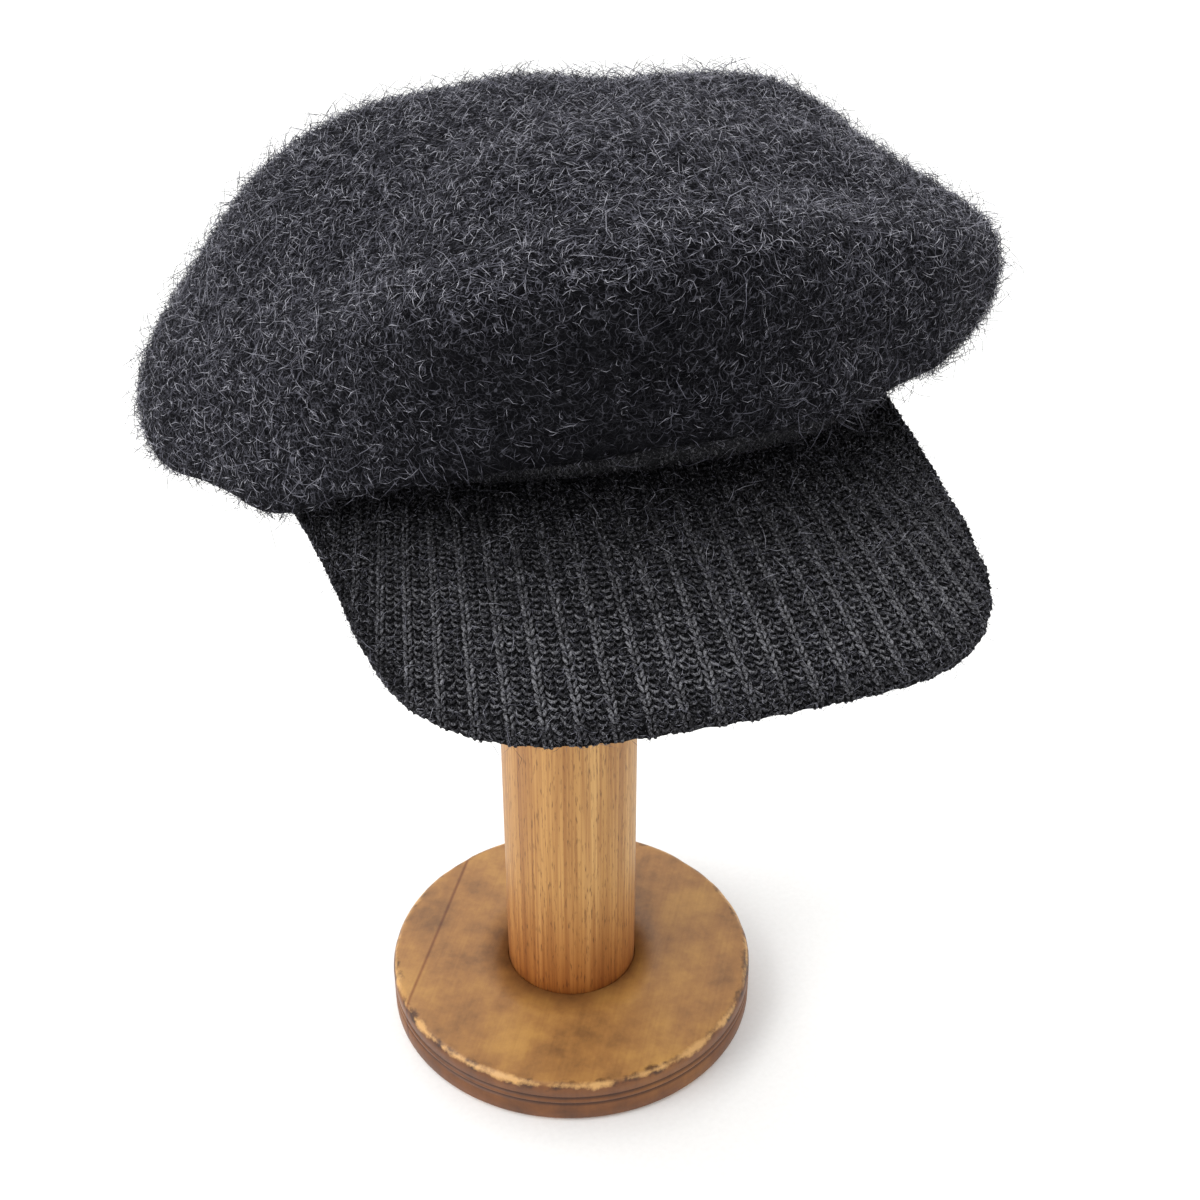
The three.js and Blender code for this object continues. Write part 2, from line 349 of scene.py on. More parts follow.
ash, tree = start_material("turned_ash_old_wax")
bands = along_the_grain(tree, GRAIN_WIDTH, GRAIN_LENGTH, 4.0)
streaks = along_the_grain(tree, STREAK_WIDTH, STREAK_LENGTH, 3.0)
pores = along_the_grain(tree, PORE_WIDTH, PORE_LENGTH, 3.0)
wood = add(
    tree,
    "ValToRGB",
    {"Fac": bands.outputs["Fac"]},
    ramp=[(0.3, "#a1713a"), (0.7, "#c89c5e"), (0.5, "#b6874a")],
).outputs["Color"]
streak_tint = add(
    tree, "ValToRGB", {"Fac": streaks.outputs["Fac"]}, ramp=[(0.36, "#b38a58"), (0.6, "#ffffff")]
)
wood = tinted(tree, 0.55, wood, streak_tint.outputs["Color"])
pore_tint = add(
    tree, "ValToRGB", {"Fac": pores.outputs["Fac"]}, ramp=[(0.3, "#6f4c2a"), (0.43, "#ffffff")]
)
wood = tinted(tree, 0.65, wood, pore_tint.outputs["Color"])

# %% [markdown]
# The foot of the post, where it meets the base, is drawn darker and more orange.

# %% Darker, more orange foot of the post
FOOT_TINT_FROM, FOOT_TINT_TO = 18 * MM, 70 * MM

height = add(tree, "SeparateXYZ", {0: add(tree, "TexCoord").outputs["Object"]})
above_base = add(
    tree,
    "MapRange",
    {"Value": height.outputs["Z"], "From Min": FOOT_TINT_FROM, "From Max": FOOT_TINT_TO},
)
foot_tint = add(
    tree, "ValToRGB", {"Fac": above_base.outputs["Result"]}, ramp=[(0, "#cf9a5c"), (1, "#ffffff")]
)
wood = tinted(tree, 0.85, wood, foot_tint.outputs["Color"])
pore_bump = add(
    tree, "Bump", {"Height": pores.outputs["Fac"], "Strength": 0.25, "Distance": 0.2 * MM}
)
surface = add(
    tree,
    "BsdfPrincipled",
    {"Base Color": wood, "Roughness": 0.5, "Normal": pore_bump.outputs["Normal"]},
)
finish_material(tree, surface)

# %% [markdown]
# ** Stained beech.** The base is a darker disc. Handling has left clouds of brown and
# gold on its top, and its rim is drawn darker. The grain of beech is fine and faint.

# %% Stained beech of the base
BASE_RADIUS = 68 * MM
GROOVES = (8.6, 11.6)  # heights of the two grooves in the rim, in mm
CLOUD_SIZE = 24 * MM
FIBRE_WIDTH, FIBRE_LENGTH, GRAIN_TURN = 1.2 * MM, 45 * MM, radians(-30.4)

stained, tree = start_material("turned_beech_stained_worn")
place = add(tree, "TexCoord").outputs["Object"]
parts = add(tree, "SeparateXYZ", {0: place})
clouds = add(
    tree,
    "TexNoise",
    {"Vector": place, "Scale": 1 / CLOUD_SIZE, "Detail": 8.0, "Roughness": 0.65},
)
wood = add(
    tree,
    "ValToRGB",
    {"Fac": clouds.outputs["Fac"]},
    ramp=[(0.34, "#7c5630"), (0.68, "#b98a48"), (0.5, "#a0713d")],
).outputs["Color"]
grain_place = add(
    tree,
    "Mapping",
    {
        "Vector": place,
        "Rotation": (0, 0, GRAIN_TURN),
        "Scale": (FIBRE_WIDTH, FIBRE_LENGTH, FIBRE_LENGTH),
    },
    vector_type="TEXTURE",
)
grain = add(
    tree, "TexNoise", {"Vector": grain_place.outputs["Vector"], "Scale": 1.0, "Detail": 4.0}
)
grain_tint = add(
    tree, "ValToRGB", {"Fac": grain.outputs["Fac"]}, ramp=[(0.35, "#b3946c"), (0.6, "#ffffff")]
)
wood = tinted(tree, 0.14, wood, grain_tint.outputs["Color"])

# %% [markdown]
# Wear follows the shape. The distance of a point from the ring where the top turns
# into the rim says how exposed it is. Noise makes the bare band wide in some places
# and takes it away in others, and dark stains lie just inside it.

# %% Wear along the edge
WORN_OUT, WORN_UP = 67.1 * MM, 17.5 * MM  # the ring where top and rim meet
KNOCK_SPACING, STAIN_SIZE, BARE_WIDTH = 16 * MM, 9 * MM, 3.5 * MM

flat_place = add(tree, "CombineXYZ", {"X": parts.outputs["X"], "Y": parts.outputs["Y"]})
from_axis = add(tree, "VectorMath", {0: flat_place.outputs["Vector"]}, operation="LENGTH")
section = add(tree, "CombineXYZ", {"X": from_axis.outputs["Value"], "Y": parts.outputs["Z"]})
from_edge = add(
    tree,
    "VectorMath",
    {0: section.outputs["Vector"], 1: (WORN_OUT, WORN_UP, 0)},
    operation="DISTANCE",
)
knocks = add(
    tree,
    "TexNoise",
    {"Vector": place, "Scale": 1 / KNOCK_SPACING, "Detail": 6.0, "Roughness": 0.7},
)
bare_width = add(
    tree,
    "MapRange",
    {"Value": knocks.outputs["Fac"], "From Min": 0.38, "From Max": 0.7, "To Max": BARE_WIDTH},
)
bare_depth = add(
    tree,
    "Math",
    {0: bare_width.outputs["Result"], 1: from_edge.outputs["Value"]},
    operation="SUBTRACT",
)
bare = add(
    tree,
    "MapRange",
    {"Value": bare_depth.outputs[0], "From Min": 0, "From Max": 1.6 * MM},
)
rim = add(
    tree,
    "MapRange",
    {
        "Value": from_axis.outputs["Value"],
        "From Min": BASE_RADIUS - 1.6 * MM,
        "From Max": BASE_RADIUS - 0.4 * MM,
    },
)
rim_tint = add(
    tree, "ValToRGB", {"Fac": rim.outputs["Result"]}, ramp=[(0, "#ffffff"), (1, "#b59a7e")]
)
wood = tinted(tree, 1.0, wood, rim_tint.outputs["Color"])
stain_noise = add(
    tree,
    "TexNoise",
    {"Vector": place, "Scale": 1 / STAIN_SIZE, "Detail": 4.0, "Roughness": 0.6},
)
stain_near = add(
    tree,
    "MapRange",
    {"Value": from_edge.outputs["Value"], "From Min": 9 * MM, "From Max": 1 * MM},
)
stain = add(
    tree,
    "Math",
    {0: stain_noise.outputs["Fac"], 1: stain_near.outputs["Result"]},
    operation="MULTIPLY",
)
stain_tint = add(
    tree, "ValToRGB", {"Fac": stain.outputs[0]}, ramp=[(0.47, "#ffffff"), (0.6, "#6a5138")]
)
wood = tinted(tree, 0.85, wood, stain_tint.outputs["Color"])
wood = add(
    tree,
    "Mix",
    {0: bare.outputs["Result"], 6: wood, 7: linear("#c8995c")},
    data_type="RGBA",
).outputs[2]

# %% [markdown]
# The two grooves are drawn darker, and a hairline of dark grain runs straight across
# the left side of the disc. Each is a thin band of distance, from a height or from a line.

# %% Grooves and the dark hairline
HAIRLINE_OFF_CENTRE = 52.6 * MM

for groove in GROOVES:
    off_groove = add(
        tree, "Math", {0: parts.outputs["Z"], 1: groove * MM}, operation="SUBTRACT"
    )
    distance = add(tree, "Math", {0: off_groove.outputs[0]}, operation="ABSOLUTE")
    groove_tint = add(
        tree,
        "MapRange",
        {"Value": distance.outputs[0], "From Min": 0.8 * MM, "From Max": 0.3 * MM},
    )
    wood = tinted(tree, groove_tint.outputs["Result"], wood, linear("#8d7460"))
line_place = add(
    tree,
    "Mapping",
    {
        "Vector": place,
        "Rotation": (0, 0, -GRAIN_TURN),
        "Location": (HAIRLINE_OFF_CENTRE, 0, 0),
    },
)
line_parts = add(tree, "SeparateXYZ", {0: line_place.outputs["Vector"]})
off_line = add(tree, "Math", {0: line_parts.outputs["X"]}, operation="ABSOLUTE")
hairline = add(
    tree,
    "MapRange",
    {"Value": off_line.outputs[0], "From Min": 0.9 * MM, "From Max": 0.1 * MM},
)
wood = tinted(tree, hairline.outputs["Result"], wood, linear("#c6a98c"))
wood_bump = add(
    tree, "Bump", {"Height": grain.outputs["Fac"], "Strength": 0.15, "Distance": 0.3 * MM}
)
surface = add(
    tree,
    "BsdfPrincipled",
    {"Base Color": wood, "Roughness": 0.45, "Normal": wood_bump.outputs["Normal"]},
)
finish_material(tree, surface)

# %% [markdown]
# ## The turned stand
#
# A turner cuts each part as a profile that spins, so each is made the same way here:
# a line of points is spun round the Z axis. Small rounds on the edges catch the light
# as sanded wood does.

# %% Spin a profile
LATHE_STEPS = 144


def turn_on_lathe(profile):
    """Spins (radius, height) points in mm round Z."""
    shape = bmesh.new()
    corners = [shape.verts.new((r * MM, 0, z * MM)) for r, z in profile]
    for a, b in zip(corners, corners[1:]):
        shape.edges.new((a, b))
    bmesh.ops.spin(
        shape,
        geom=shape.verts[:] + shape.edges[:],
        cent=(0, 0, 0),
        axis=(0, 0, 1),
        angle=2 * pi,
        steps=LATHE_STEPS,
        use_merge=True,
    )
    bmesh.ops.remove_doubles(shape, verts=shape.verts, dist=0.01 * MM)
    bmesh.ops.recalc_face_normals(shape, faces=shape.faces)
    return shape


def mesh_from(shape, name):
    mesh = bpy.data.meshes.new(name)
    shape.to_mesh(mesh)
    shape.free()
    return mesh


# %% [markdown]
# The base has two turned grooves in the middle of its rim, and a socket for the
# post. Old knocks have dented its upper edge, so the vertices there move in a little,
# by a noise that changes every few millimetres.

# %% Base
KNOCK_DEPTH, KNOCK_REACH, KNOCK_SIZE = 0.011, 3 * MM, 7 * MM  # the depth is a share

base_profile = [(0, 0), (66.4, 0), (66.7, 0.2), (67.8, 1.4), (68, 1.8)]
for groove in GROOVES:
    base_profile += [
        (68, groove - 0.95),
        (67.8, groove - 0.7),
        (67.1, groove - 0.2),
        (67.1, groove + 0.2),
        (67.8, groove + 0.7),
        (68, groove + 0.95),
    ]
base_profile += [
    (65 + 3 * cos(radians(turn)), 15.4 + 3 * sin(radians(turn))) for turn in range(0, 91, 10)
]
base_profile += [(60, 18.4), (48, 18.4), (36, 18.4), (24.3, 18.4), (24.3, 12.4), (0, 12.4)]
base = turn_on_lathe(base_profile)
for vertex in base.verts:
    out = hypot(vertex.co.x, vertex.co.y)
    exposed = 1 - hypot(out - WORN_OUT, vertex.co.z - WORN_UP) / KNOCK_REACH
    if exposed > 0:
        knock = max(0, noise.noise(vertex.co / KNOCK_SIZE))
        vertex.co *= 1 - KNOCK_DEPTH * knock * exposed
stand_base = place_piece("stand_base_turned", mesh_from(base, "base"), stained)
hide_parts("stand_base")
print("base:", triangles(stand_base), "triangles")

# %% [markdown]
# The post is a plain cylinder with softened ends. The hidden top is a low dome that
# the crown lies on.

# %% Post and top
post_foot, post_head = 12.7, 322.7
post = turn_on_lathe(
    [(0, post_foot), (23.4, post_foot), (24, post_foot + 0.6)]
    + [(24, z) for z in range(24, 317, 24)]
    + [(24, post_head - 0.6), (23.4, post_head), (0, post_head)]
)
stand_post = place_piece("stand_post_turned", mesh_from(post, "post"), ash)
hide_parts("stand_post")

top_profile = [(0, 323), (24.3, 323), (24.3, 317), (42, 317), (43.6, 317.6), (44, 319)]
top_profile += [
    (44 * cos(radians(turn)), 325 + 15 * sin(radians(turn))) for turn in range(0, 91, 9)
]
dome = turn_on_lathe(top_profile)
stand_top = place_piece("stand_top_turned", mesh_from(dome, "top"), ash)
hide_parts("stand_top")
print("post and top:", triangles(stand_post) + triangles(stand_top), "triangles")

# %% [markdown]
# ## Place of the hat
#
# The hat is measured in millimetres in its own frame, where its front is -Y and its
# band stands level. On the stand it is tipped back by 5 degrees.

# %% Hat frame
HAT_HEIGHT, TIPPED_BACK, LEANING = 250, radians(-5), radians(1)

hat_place = (
    Matrix.Translation((0, 0, HAT_HEIGHT))
    @ Matrix.Rotation(TIPPED_BACK, 4, "X")
    @ Matrix.Rotation(LEANING, 4, "Y")
)
HAT_TURN, HAT_SHIFT = np.array(hat_place.to_3x3()), np.array(hat_place.translation)


def to_scene(points):
    """Hat millimetres to scene metres, for an array of points."""
    points = np.asarray(points, float)
    return (points @ HAT_TURN.T + HAT_SHIFT) * MM


def to_hat(points):
    return (np.asarray(points) / MM - HAT_SHIFT) @ HAT_TURN


# %% [markdown]
# ## Crown ground
#
# The soft solid is welded into one skin, its triangles are joined to quads, and
# subdivision rounds it. A cloth that slouches on a stand also has a crisp rim at the
# front, where the top turns over into the wall. The table gives that rim: the angle
# round the hat, how far out it is, how high, and how sharp. A second table has the
# bulges and dents, each a smooth bell, and a noise adds small rumples.

# %% Weld the crown
def weld(node_name):
    shape = bmesh.new()
    shape.from_mesh(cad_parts[node_name].data)
    bmesh.ops.remove_doubles(shape, verts=shape.verts, dist=0.02 * MM)
    bmesh.ops.join_triangles(
        shape,
        faces=shape.faces,
        angle_face_threshold=pi,
        angle_shape_threshold=pi,
    )
    return shape


def set_tone(mesh, tone):
    """Gives the vertices of a mesh a tone, one for all or one for each."""
    attribute = mesh.attributes.new("tone", "FLOAT", "POINT")
    tones = np.broadcast_to(tone, len(mesh.vertices)).astype(np.float32)
    attribute.data.foreach_set("value", tones)
    return mesh


def round_off(piece, levels):
    finer = piece.modifiers.new("rounded", "SUBSURF")
    finer.levels = finer.render_levels = levels


def subdivided(mesh):
    """The mesh after one level of subdivision, as a mesh of its own."""
    carrier = bpy.data.objects.new("carrier", mesh)
    bpy.context.collection.objects.link(carrier)
    round_off(carrier, 1)
    shown = carrier.evaluated_get(bpy.context.evaluated_depsgraph_get())
    finer = bpy.data.meshes.new_from_object(shown)
    bpy.data.objects.remove(carrier)
    return finer


# %% Rim, hollows and bumps of the crown
RIM = [
    (-120, 118, 25, 0.0),
    (-90, 112, 33, 0.7),
    (-65, 102, 44, 1.0),
    (-40, 103, 66, 1.0),
    (-15, 112, 78, 1.0),
    (5, 109, 83, 1.0),
    (30, 101, 76, 1.0),
    (58, 115, 60, 0.8),
    (95, 122, 50, 0.0),
]
RIM_WAVES = [  # rise, distance from the rim towards the top, and width, in mm
    (3.5, 0, 8),
    (-4.0, -28, 15),
    (-3.0, 26, 14),
]
BUMPS = [  # place in hat millimetres, radius, rise
    (-68, 49, 73, 26, 3.5),
    (-120, 34, 4, 18, 4.4),
    (-118, 4, -4, 24, 4.2),
    (-100, 58, 42, 22, -1.6),
    (0, 38, 92, 16, 1.5),
    (22, 36, 91, 14, -1.6),
    (92, -68, 27, 20, 4.0),
    (84, 38, 79, 24, 5.0),
    (118, -38, 38, 24, 6.2),
    (-98, -54, 2, 22, 6.5),
    (60, -62, 84, 24, -3.5),
    (-36, -86, 76, 14, -2.0),
]
RUMPLES = [(1.3, 34), (0.6, 13)]  # height and width in mm
LOFT = 0.4  # how much fuller the brushed cloth is than the solid, in mm
CORE_RADIUS, CORE_HEIGHT = 62, 48


def crown_outward(points):
    """Direction away from a flat disc in the middle of the crown, for hat points."""
    radius = np.hypot(points[:, 0], points[:, 1])
    out = np.maximum(radius - CORE_RADIUS, 0)
    way = np.stack([
        points[:, 0] / (radius + 1e-6) * out,
        points[:, 1] / (radius + 1e-6) * out,
        points[:, 2] - CORE_HEIGHT,
    ], 1)
    return way / (np.linalg.norm(way, axis=1, keepdims=True) + 1e-9)


def bell(distance, width):
    return np.exp(-((distance / width) ** 2))


def drape(points):
    """How far each point of the crown moves outwards, in mm."""
    angle = np.degrees(np.arctan2(points[:, 0], -points[:, 1]))
    radius = np.hypot(points[:, 0], points[:, 1])
    rim_angle, rim_out, rim_height, strength = np.array(RIM).T
    over = points[:, 2] - np.interp(angle, rim_angle, rim_height)
    inside = np.interp(angle, rim_angle, rim_out) - radius
    apart = np.hypot(over, inside) * np.sign(over + inside)
    lift = sum(rise * bell(apart - middle, width) for rise, middle, width in RIM_WAVES)
    lift *= np.interp(angle, rim_angle, strength)
    for x, y, z, size, rise in BUMPS:
        lift += rise * bell(np.linalg.norm(points - (x, y, z), axis=1), size)
    lift += [
        sum(rise * noise.noise(Vector(point) / size) for rise, size in RUMPLES)
        for point in points
    ]
    return lift + LOFT


# %% [markdown]
# The top of the crown is drawn lighter and its upright front wall almost black: this
# is painted shade, deepest in the middle of the front wall. One function says how
# much painted shade lies at a spot. The ground and the hairs both use it.

# %% Painted shade of the crown, and its ground
SHADIEST_ANGLE, SHADE_WIDTH = -18, 33  # degrees round the hat
UNSHADED_FROM = 0.65  # the upward part of the normal, from which no shade is painted
SHADE_ALL_ROUND = 0.15


def painted_shade(points, facing):
    """Painted shade: 0 on the top, and most in the middle of the front wall."""
    x, y, _ = to_hat(points).T
    front = bell(np.degrees(np.arctan2(x, -y)) - SHADIEST_ANGLE, SHADE_WIDTH)
    return np.clip(UNSHADED_FROM - facing[:, 2], 0, 1) * (SHADE_ALL_ROUND + front)


crown_mesh = subdivided(mesh_from(weld("crown"), "crown"))
corners = np.array([vertex.co[:] for vertex in crown_mesh.vertices])
local = to_hat(corners)
local += crown_outward(local) * drape(local)[:, None]
corners = to_scene(local)
crown_mesh.vertices.foreach_set("co", corners.astype(np.float32).reshape(-1))
facing = np.array([vertex.normal[:] for vertex in crown_mesh.vertices])
# The tone of the ground carries the painted shade: fewer fine hair lines where it is shaded.
set_tone(crown_mesh, 1 - 0.8 * painted_shade(corners, facing))
crown = place_piece("crown_knit", crown_mesh, knit_ground)
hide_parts("crown")
print("crown ground:", triangles(crown), "triangles")

# %% [markdown]
# ## Strands
#
# Hairs and stitches are the same thing at two sizes: a short bent strand that is
# repeated thousands of times. One function turns the centre lines of many strands
# into one mesh of thin closed tubes. Arrays do it in one go, which a loop with mesh
# operators would take minutes for.

# %% Many strands as one mesh
def strands_mesh(name, lines, radii, sides, tones, pointed):
    """lines is (strand, point, xyz) in metres, and radii is one radius per ring. Pointed
    strands have no ring at their two ends."""
    count = len(lines)
    run = lines[:, -1] - lines[:, 0]
    run /= np.linalg.norm(run, axis=1, keepdims=True) + 1e-12
    slanted = np.where(np.abs(run[:, 2:]) < 0.9, [[0.0, 0.0, 1.0]], [[1.0, 0.0, 0.0]])
    side = np.cross(run, slanted)
    side /= np.linalg.norm(side, axis=1, keepdims=True)
    up = np.cross(side, run)
    turn = 2 * pi * np.arange(sides) / sides
    round_line = np.cos(turn)[:, None] * side[:, None] + np.sin(turn)[:, None] * up[:, None]
    ringed = lines[:, 1:-1] if pointed else lines
    vertices = ringed[:, :, None] + round_line[:, None] * radii[:, None, None]
    vertices = vertices.reshape(count, -1, 3)
    ring = np.arange(sides)
    after = (ring + 1) % sides
    last = (len(radii) - 1) * sides
    faces = []
    for low in range(0, last, sides):
        faces += [[low + a, low + b, low + b + sides, low + a + sides] for a, b in zip(ring, after)]
    if pointed:
        root, tip = last + sides, last + sides + 1
        vertices = np.concatenate([vertices, lines[:, :1], lines[:, -1:]], axis=1)
        faces += [[b, a, root] for a, b in zip(ring, after)]
        faces += [[last + a, last + b, tip] for a, b in zip(ring, after)]
    else:
        faces += [list(ring[::-1]), list(ring + last)]
    each = vertices.shape[1]
    corner_list = np.array([corner for face in faces for corner in face])
    sizes = np.tile([len(face) for face in faces], count)
    loops = (corner_list[None] + each * np.arange(count)[:, None]).reshape(-1)
    mesh = bpy.data.meshes.new(name)
    mesh.vertices.add(count * each)
    mesh.vertices.foreach_set("co", vertices.astype(np.float32).reshape(-1))
    mesh.loops.add(len(loops))
    mesh.loops.foreach_set("vertex_index", loops.astype(np.int32))
    mesh.polygons.add(len(sizes))
    mesh.polygons.foreach_set("loop_start", (np.cumsum(sizes) - sizes).astype(np.int32))
    mesh.update(calc_edges=True)
    attribute = mesh.attributes.new("tone", "FLOAT", "POINT")
    attribute.data.foreach_set("value", np.repeat(tones, each).astype(np.float32))
    return mesh


# %% [markdown]
# ## Shape of the peak
#
# The cover is a ribbed knit that is pulled over a stiff plate. The ribs start at the
# band and fan out to the edge, where the outline cuts off the outer ones. The cloth
# then rolls round the edge and runs back underneath. The functions below follow the
# same sizes as the solid, and give any point of that skin.

# %% Outline and columns of the peak
RIB_COUNT = 37
PEAK_SPREAD, PEAK_FAN = 80, 24  # degrees from the front: the last rib's start and heading
PEAK_SLOPE, COVER_FULLNESS = 0.52, 1.006  # shares
PEAK_ARCH, PEAK_LEAN, PEAK_REACH, PEAK_LIFT = 2.5, 3.6, 159, 3  # mm
EDGE_ROUND, SHORTEST_COLUMN = 1.7, 5  # mm
BAND_RADIUS, BAND_HEIGHT = 91, 26  # mm
BAND_RISE, RISE_WIDTH = 14, 62  # mm at the front, and degrees
HALF_OUTLINE = [  # mm aside and forward
    (0, 159),
    (38, 155.5),
    (62, 146),
    (78, 129),
    (84, 108),
    (86, 84),
    (89, 54),
    (94, 20),
]


def band_bottom(angle):
    return BAND_RISE * np.exp(-((np.asarray(angle) / RISE_WIDTH) ** 2))


def smooth_curve(points, steps):
    """A smooth curve through all the points, as an array."""
    p = np.asarray(points, float)
    p = np.vstack([p[:1], p, p[-1:]])
    t = np.linspace(0, 1, steps, endpoint=False)[:, None]
    spans = []
    for a, b, c, d in zip(p, p[1:], p[2:], p[3:]):
        into, out = (c - a) / 2, (d - b) / 2
        cubic = (2 * b - 2 * c + into + out) * t**3
        square = (3 * c - 3 * b - 2 * into - out) * t**2
        spans.append(cubic + square + into * t + b)
    return np.vstack(spans + [p[-1:]])


outline = smooth_curve(
    [(-x, -y) for x, y in HALF_OUTLINE[:0:-1]] + [(x, -y) for x, y in HALF_OUTLINE], steps=16
)
outline[:, 0] -= PEAK_LEAN * (1 + outline[:, 1] / PEAK_REACH)
outline *= COVER_FULLNESS


def heading(degrees_from_front):
    turn = np.radians(degrees_from_front)
    return np.array([np.sin(turn), -np.cos(turn)])


@cache
def column(share):
    """Start, direction and length of a line across the peak. share is -1 to 1."""
    start = heading(PEAK_SPREAD * share) * (BAND_RADIUS + 0.5)
    direction = heading(PEAK_FAN * share)
    a, b = outline[:-1] - start, outline[1:] - start
    side_a = direction[0] * a[:, 1] - direction[1] * a[:, 0]
    side_b = direction[0] * b[:, 1] - direction[1] * b[:, 0]
    crossed = side_a * side_b < 0
    part = side_a[crossed] / (side_a[crossed] - side_b[crossed])
    hit = a[crossed] + (b[crossed] - a[crossed]) * part[:, None]
    return start, direction, max((hit @ direction).max(initial=0), SHORTEST_COLUMN)


# %% Skin of the peak
def middle_height(x, y, part):
    fall = PEAK_SLOPE * (hypot(x, y) - BAND_RADIUS)
    arch = PEAK_ARCH * sin(pi * min(max(part, 0), 1))
    return float(band_bottom(degrees(atan2(x, -y)))) + PEAK_LIFT - fall + arch


def peak_skin(share, travel):
    """Point and outward direction in mm after some travel along a column: over the
    top, round the edge and back underneath."""
    start, direction, length = column(share)
    flat = length - EDGE_ROUND
    turn = min(max((travel - flat) / EDGE_ROUND, 0), pi)
    back = max(travel - flat - pi * EDGE_ROUND, 0)
    forward = min(travel, flat) - back
    here = start + direction * forward
    z = middle_height(*here, forward / length)
    ahead = here + direction * 0.5
    across = here + np.array([-direction[1], direction[0]]) * 0.5
    run = Vector((*(direction * 0.5), middle_height(*ahead, (forward + 0.5) / length) - z))
    wide = Vector((*(across - here), middle_height(*across, forward / length) - z))
    up = run.cross(wide).normalized()
    up *= 1 if up.z > 0 else -1
    outward = up * cos(turn) + run.normalized() * sin(turn)
    return Vector((*here, z)) + outward * EDGE_ROUND, outward


# %% [markdown]
# The ground of the peak is a flat grid that is bent onto this skin. Its first and
# last rows meet at the band, where a bridge joins them, and the two temples are
# filled. Each rib is a low wave in it, and the rolled edge is a little fuller.

# %% Ground of the peak
RIB_WAVE, SUNK, EDGE_FILL, EDGE_WIDTH = 0.25, 0.45, 0.8, 3.5  # mm

peak_shape = bmesh.new()
bmesh.ops.create_grid(peak_shape, x_segments=RIB_COUNT * 5, y_segments=44, size=1)
at_band = {vertex for vertex in peak_shape.verts if abs(vertex.co.y) > 0.999}
for vertex in peak_shape.verts:
    share = round(vertex.co.x, 6)
    around = 2 * (column(share)[2] - EDGE_ROUND) + pi * EDGE_ROUND
    at_edge = exp(-((vertex.co.y * around / 2 / EDGE_WIDTH) ** 2))
    point, outward = peak_skin(share, (vertex.co.y + 1) / 2 * around)
    wave = cos(2 * pi * ((share + 1) / 2 * RIB_COUNT - 1 / 3))
    vertex.co = point + outward * (RIB_WAVE * wave - SUNK + EDGE_FILL * at_edge)
band_rows = [edge for edge in peak_shape.edges if at_band.issuperset(edge.verts)]
bmesh.ops.bridge_loops(peak_shape, edges=band_rows)
temples = [edge for edge in peak_shape.edges if edge.is_boundary]
bmesh.ops.holes_fill(peak_shape, edges=temples, sides=0)
peak_shape.transform(Matrix.Scale(MM, 4) @ hat_place)
bmesh.ops.recalc_face_normals(peak_shape, faces=peak_shape.faces)
still_open = sum(edge.is_boundary for edge in peak_shape.edges)
# The ground shows only in the gaps between stitches; its low tone is painted shade.
peak_mesh = set_tone(mesh_from(peak_shape, "peak"), 0.2)
peak = place_piece("peak_knit", peak_mesh, rib_yarn)
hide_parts("peak")
print("peak ground:", triangles(peak), "triangles,", still_open, "open edges")

# %% [markdown]
# ## Stitches
#
# Seen close, a knit stitch is a V of two slanted legs, and a purl stitch is a low
# arc. A rib is a narrow column of knit stitches, then a wide trough of purl. Each
# column is walked course by course. The stitches lie half in the ground, so the
# cover looks knitted through. Near the band, under the crown, the tones hold painted
# shade, and the rolled edge is darkened with painted shade as well.

# %% Walk one rib
COURSE = 1.7  # mm from one stitch to the next
LEG = (  # ahead in courses, aside and up in mm
    (0, 1.05, -0.2),
    (0.55, 0.7, 0.35),
    (1.15, 0.22, 0.1),
)
ARC = (  # aside in half widths, ahead in courses, up in mm
    (-1, -0.35, -0.6),
    (-0.4, 0.3, 0.0),
    (0.4, 0.3, 0.0),
    (1, -0.35, -0.6),
)
ARC_HALF_WIDTH, ARC_PLACES = 0.17, (0.34, 0.66)  # shares of the gap between ribs
UNEVEN, ARC_TILT = 0.08, 2.5
LEG_RADII = np.array([0.35, 0.49, 0.35]) * MM
ARC_RADII = np.array([0.36, 0.5, 0.5, 0.36]) * MM


def legs_along(skin, first, last, rng):
    """Knit stitches of one rib. skin(offset, travel) gives a point and outward."""
    legs = []
    for course in np.arange(first, last, COURSE):
        aside, lift, early = rng.normal(0, UNEVEN, 3)
        for side in (-1, 1):
            leg = []
            for ahead, off, rise in LEG:
                point, outward = skin(side * off + aside, course + (ahead + early) * COURSE)
                leg.append(point + outward * (rise + lift))
            legs.append(leg)
    return legs


def arcs_along(skin, first, last, rib_gap, rng):
    """Purl stitches between one rib and the next, two in each course."""
    arcs = []
    half = rib_gap * ARC_HALF_WIDTH
    for course in np.arange(first, last, COURSE):
        for centre in ARC_PLACES:
            aside, lift, early, tilt = rng.normal(0, UNEVEN, 4)
            arc = []
            for off, ahead, rise in ARC:
                step = course + (ahead + early + ARC_TILT * tilt * off) * COURSE
                point, outward = skin(rib_gap * centre + off * half + aside, step)
                arc.append(point + outward * (rise + lift))
            arcs.append(arc)
    return arcs


# %% Stitches of the peak
SHADE_NEAR_BAND, SHADE_AT_EDGE = (0.66, 34), (0.35, 5)  # share of painted shade, and width in mm
